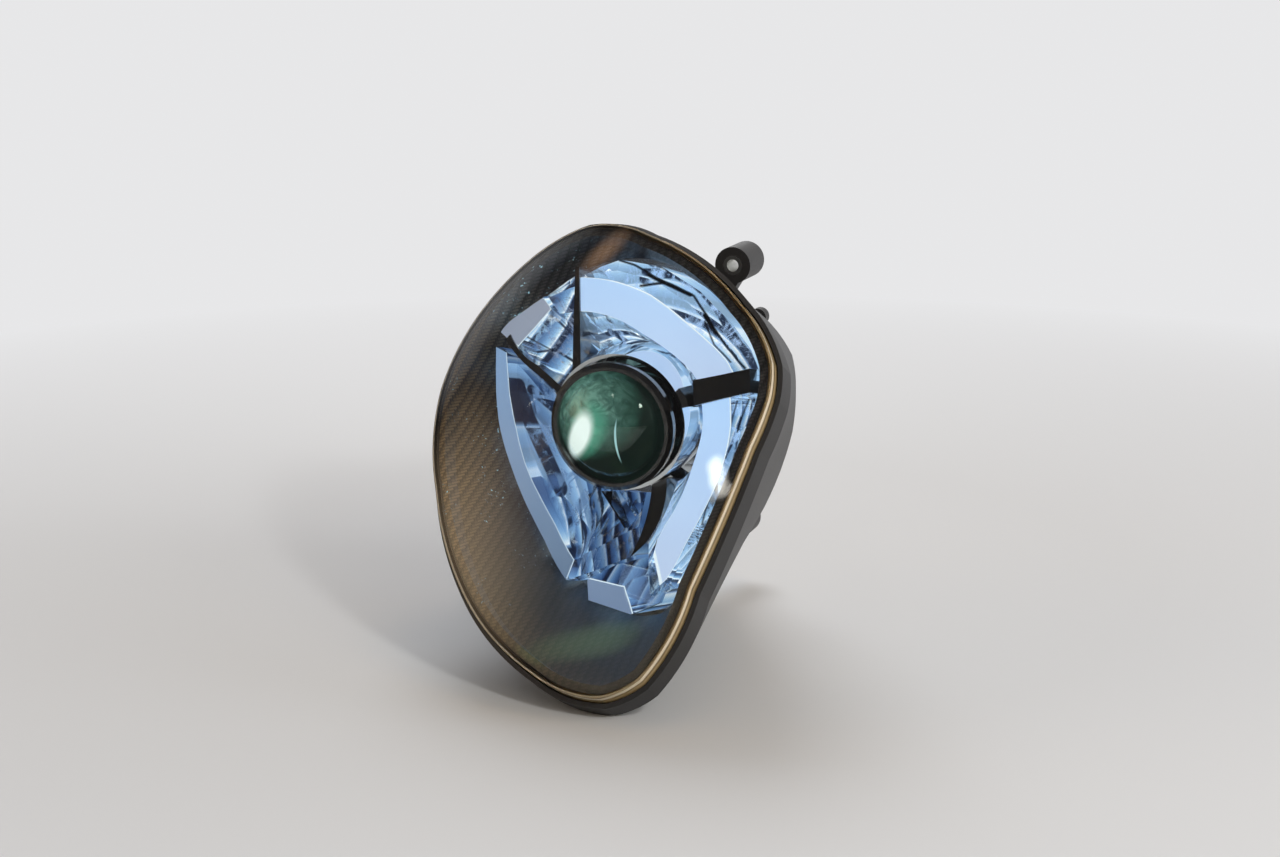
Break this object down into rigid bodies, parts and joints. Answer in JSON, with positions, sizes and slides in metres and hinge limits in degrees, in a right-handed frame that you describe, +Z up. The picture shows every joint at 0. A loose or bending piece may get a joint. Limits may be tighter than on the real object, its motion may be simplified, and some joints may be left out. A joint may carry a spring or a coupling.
{
  "type": "supercar headlamp",
  "caption": "Raked front headlamp with a clear barrel-shaped cover, cut-crystal light guides round a swinging projector, dished bezel, levelling gear and rear mounting lugs.",
  "frame": {"origin": "centre of the circle of the three rear mounting bolts, on the carrier's face", "axes": "-Y is the beam's direction (forward), +Z up, +X inboard; the optical axis runs along Y through x = 25 mm, z = 10 mm"},
  "size_m": [0.2714, 0.327, 0.2736],
  "materials": {
    "cover_glass": "polished, hard-coated clear cover",
    "crystal_glass": "clear moulded block with frosted front faces",
    "projector_glass": "polished, green anti-reflection coating",
    "carbon": "carbon-fibre twill under clear coat",
    "gloss_black": "gloss black",
    "chrome": "vapour-plated",
    "housing_plastic": "grained black talc-filled plastic",
    "fitting_plastic": "fine-grained black plastic",
    "seal_rubber": "black sealant and rubber",
    "cast_aluminium": "die-cast, as cast",
    "steel": "zinc-plated",
    "white_nylon": "natural nylon",
    "circuit_board": "solder-masked board"
  },
  "bodies": {
    "housing": {"cover_lens": "cover_glass", "cover_seal": "seal_rubber", "bezel_bowl": "carbon", "housing_front": "housing_plastic", "housing_rear": "housing_plastic", "mount_bushes": "steel", "flange_screws": "steel", "backing_plate": "chrome", "led_boards": "circuit_board", "collar": "chrome", "pivot_brackets": "fitting_plastic", "leveller_motor": "fitting_plastic", "service_cap": "fitting_plastic", "connector": "fitting_plastic", "control_unit": "cast_aluminium", "vent_cap": "seal_rubber", "spoke_top": "gloss_black", "spoke_upper_left": "gloss_black", "spoke_inboard": "gloss_black", "spoke_bottom": "gloss_black", "crystal_upper_left": "crystal_glass", "crystal_upper_right": "crystal_glass", "crystal_lower_right": "crystal_glass", "crystal_left": "crystal_glass", "crystal_bottom": "crystal_glass"},
    "gimbal": {"gimbal_frame": "cast_aluminium"},
    "projector": {"projector_lens": "projector_glass", "lens_ring": "gloss_black", "projector_barrel": "chrome", "projector_reflector": "cast_aluminium", "light_source": "circuit_board", "heat_sink": "cast_aluminium"},
    "leveller_rod": {"leveller_rod": "white_nylon"},
    "aim_rod": {"aim_rod": "white_nylon"}
  },
  "joints": [
    {"name": "level", "type": "hinge", "parent": "housing", "child": "gimbal", "pos_m": [0.025, -0.09, 0.01], "axis": [1, 0, 0], "range_deg": [-1.5, 3]},
    {"name": "aim", "type": "hinge", "parent": "gimbal", "child": "projector", "pos_m": [0.025, -0.09, 0.01], "axis": [0, 0, 1], "range_deg": [-2, 2]},
    {"name": "level_rod_slide", "type": "slide", "parent": "housing", "child": "leveller_rod", "axis": [0, 1, 0], "range_m": [-0.0019, 0.0035]},
    {"name": "aim_rod_slide", "type": "slide", "parent": "housing", "child": "aim_rod", "axis": [0, 1, 0], "range_m": [-0.002, 0.002]}
  ],
  "couplings": [
    {"joint": "level_rod_slide", "follows": "level", "m_per_rad": 0.062},
    {"joint": "aim_rod_slide", "follows": "aim", "m_per_rad": -0.05}
  ]
}
